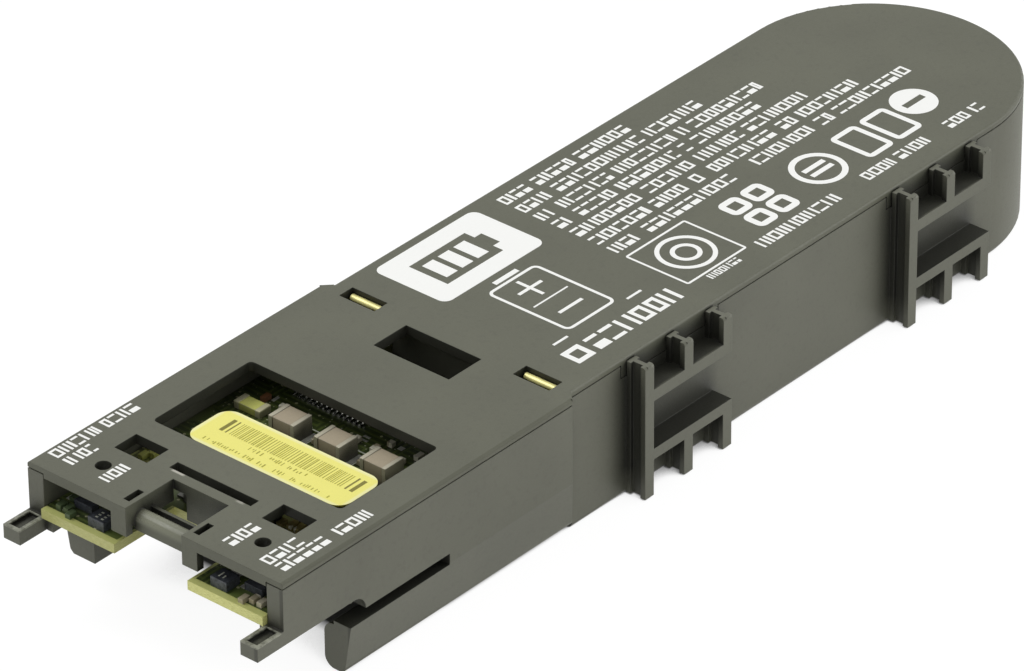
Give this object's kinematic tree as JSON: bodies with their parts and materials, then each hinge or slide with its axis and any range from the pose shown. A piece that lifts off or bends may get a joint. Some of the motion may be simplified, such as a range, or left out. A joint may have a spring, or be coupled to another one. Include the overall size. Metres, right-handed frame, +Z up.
{
  "type": "raid battery module",
  "caption": "Flat backup battery module with a round end, side clips, a latch arm and a windowed head that shows its circuit board.",
  "frame": {"origin": "centre line of the case at mid length, on the flat underside of the battery half", "axes": "+X along the case towards its round end, +Y across it away from the side clips, +Z up through the cover"},
  "size_m": [0.125, 0.0333, 0.0154],
  "materials": {
    "base_plastic": "charcoal moulded plastic, fine matt grain",
    "cover_plastic": "charcoal moulded plastic, fine matt grain, white print",
    "board": "green solder mask, pale cut edges",
    "cell_can": "nickel-plated steel can",
    "nickel_strip": "nickel strip",
    "pad": "thin adhesive pad",
    "foam": "soft closed-cell foam",
    "contact_brass": "bright spring brass",
    "block_plastic": "black moulding compound",
    "label_paper": "pale yellow self-adhesive paper, olive bars",
    "ceramic_chip": "beige-grey ceramic with tinned ends",
    "fuse_body": "yellow-green body with tinned ends",
    "chip_plastic": "black moulding compound",
    "tinned_metal": "tinned metal",
    "header_plastic": "black connector plastic",
    "pin_brass": "gold-flashed pins",
    "led_lens": "milky lens",
    "small_chip": "small chip resistors and capacitors with tinned ends",
    "white_print": "matt white ink on the cover",
    "label_ink": "olive ink on the label",
    "solder": "bright solder on pads and joints",
    "board_print": "thin white lines on the board"
  },
  "bodies": {
    "root": {"base_housing": "base_plastic", "top_cover": "cover_plastic", "circuit_board": "board", "cell_front_lower": "cell_can", "cell_front_upper": "cell_can", "cell_rear_lower": "cell_can", "cell_rear_upper": "cell_can", "stack_plate_front": "nickel_strip", "stack_plate_rear": "nickel_strip", "cell_link": "nickel_strip", "front_tab": "nickel_strip", "rear_tab": "nickel_strip", "lower_pad": "pad", "upper_pad": "pad", "end_foam": "foam", "contact_leaf_near": "contact_brass", "contact_leaf_far": "contact_brass", "power_block": "block_plastic", "barcode_label": "label_paper", "capacitor_1": "ceramic_chip", "capacitor_2": "ceramic_chip", "capacitor_3": "ceramic_chip", "fuse": "fuse_body", "controller_chip": "chip_plastic", "controller_leads": "tinned_metal", "cable_header": "header_plastic", "header_pins": "pin_brass", "header_tabs": "tinned_metal", "led_near_front": "led_lens", "led_near_rear": "led_lens", "led_far_front": "led_lens", "led_far_rear": "led_lens", "driver_chip_near": "chip_plastic", "driver_chip_far": "chip_plastic", "small_parts": "small_chip"}
  },
  "joints": []
}
